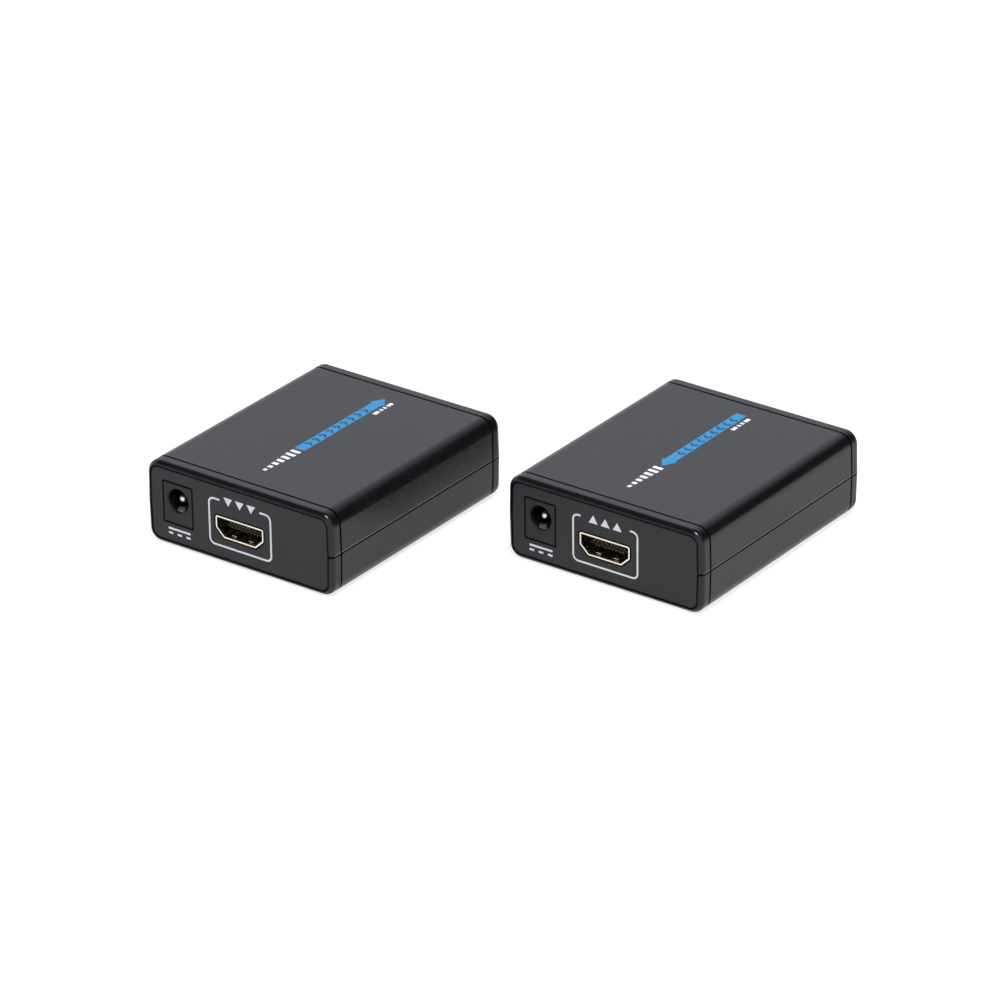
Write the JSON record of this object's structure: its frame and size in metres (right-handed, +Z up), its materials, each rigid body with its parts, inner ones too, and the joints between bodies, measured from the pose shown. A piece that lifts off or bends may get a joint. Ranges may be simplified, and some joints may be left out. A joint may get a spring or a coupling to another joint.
{
  "type": "video link extender pair",
  "caption": "Two small flat desktop boxes, a sender and a receiver, each with a barrel power jack and a wide video socket in front and a network socket behind.",
  "frame": {"origin": "on the table at the middle of the pair's bounding box", "axes": "front panels look along -Y, the receiver stands to the right along +X and further back, +Z is up"},
  "size_m": [0.1382, 0.115, 0.0226],
  "materials": {
    "case": "satin moulded, lightly polished edges",
    "panel": "matt moulded",
    "socket_plastic": "glass-filled, semi-matt",
    "board": "lacquered laminate",
    "steel": "plated, satin",
    "nickel": "bright nickel plate",
    "gold": "thin gold plate",
    "lamp": "clear-diffused moulding",
    "chip": "moulded resin",
    "ferrite": "pressed ferrite",
    "can": "drawn can",
    "ceramic": "ceramic with tinned ends"
  },
  "bodies": {
    "sender": {"sender_top_shell": "case", "sender_bottom_shell": "case", "sender_front_panel": "panel", "sender_rear_panel": "panel", "sender_case_screws": "steel", "sender_circuit_board": "board", "sender_power_jack_housing": "socket_plastic", "sender_power_jack_pin": "nickel", "sender_power_jack_terminals": "nickel", "sender_video_socket_shell": "gold", "sender_video_socket_insulator": "socket_plastic", "sender_video_socket_contacts": "gold", "sender_network_socket_shield": "steel", "sender_network_socket_housing": "socket_plastic", "sender_network_socket_leads": "gold", "sender_network_socket_lamps": "lamp", "sender_link_chip": "chip", "sender_video_chip": "chip", "sender_memory_chip": "chip", "sender_crystal": "steel", "sender_voltage_regulator": "chip", "sender_power_inductor": "ferrite", "sender_filter_capacitors": "can", "sender_small_parts": "ceramic"},
    "sender_jack_spring": {"sender_power_jack_spring": "nickel"},
    "sender_network_contacts": {"sender_network_socket_contacts": "gold"},
    "receiver": {"receiver_top_shell": "case", "receiver_bottom_shell": "case", "receiver_front_panel": "panel", "receiver_rear_panel": "panel", "receiver_case_screws": "steel", "receiver_circuit_board": "board", "receiver_power_jack_housing": "socket_plastic", "receiver_power_jack_pin": "nickel", "receiver_power_jack_terminals": "nickel", "receiver_video_socket_shell": "gold", "receiver_video_socket_insulator": "socket_plastic", "receiver_video_socket_contacts": "gold", "receiver_network_socket_shield": "steel", "receiver_network_socket_housing": "socket_plastic", "receiver_network_socket_leads": "gold", "receiver_network_socket_lamps": "lamp", "receiver_link_chip": "chip", "receiver_video_chip": "chip", "receiver_memory_chip": "chip", "receiver_crystal": "steel", "receiver_voltage_regulator": "chip", "receiver_power_inductor": "ferrite", "receiver_filter_capacitors": "can", "receiver_small_parts": "ceramic"},
    "receiver_jack_spring": {"receiver_power_jack_spring": "nickel"},
    "receiver_network_contacts": {"receiver_network_socket_contacts": "gold"}
  },
  "joints": [
    {"name": "sender_jack_spring_bend", "type": "hinge", "parent": "sender", "child": "sender_jack_spring", "pos_m": [-0.0591, -0.04925, 0.0086], "axis": [1, 0, 0], "range_deg": [0, 4], "stiffness_Nm_per_rad": 0.05},
    {"name": "sender_network_contacts_bend", "type": "hinge", "parent": "sender", "child": "sender_network_contacts", "pos_m": [-0.0398, 0.01075, 0.0183], "axis": [-1, 0, 0], "range_deg": [0, 14], "stiffness_Nm_per_rad": 0.05},
    {"name": "receiver_jack_spring_bend", "type": "hinge", "parent": "receiver", "child": "receiver_jack_spring", "pos_m": [0.0205, -0.00515, 0.0086], "axis": [1, 0, 0], "range_deg": [0, 4], "stiffness_Nm_per_rad": 0.05},
    {"name": "receiver_network_contacts_bend", "type": "hinge", "parent": "receiver", "child": "receiver_network_contacts", "pos_m": [0.0398, 0.05485, 0.0183], "axis": [-1, 0, 0], "range_deg": [0, 14], "stiffness_Nm_per_rad": 0.05},
    {"name": "receiver_slide", "type": "slide", "parent": "sender", "child": "receiver", "axis": [1, 0, 0], "range_m": [0, 0.3]}
  ]
}
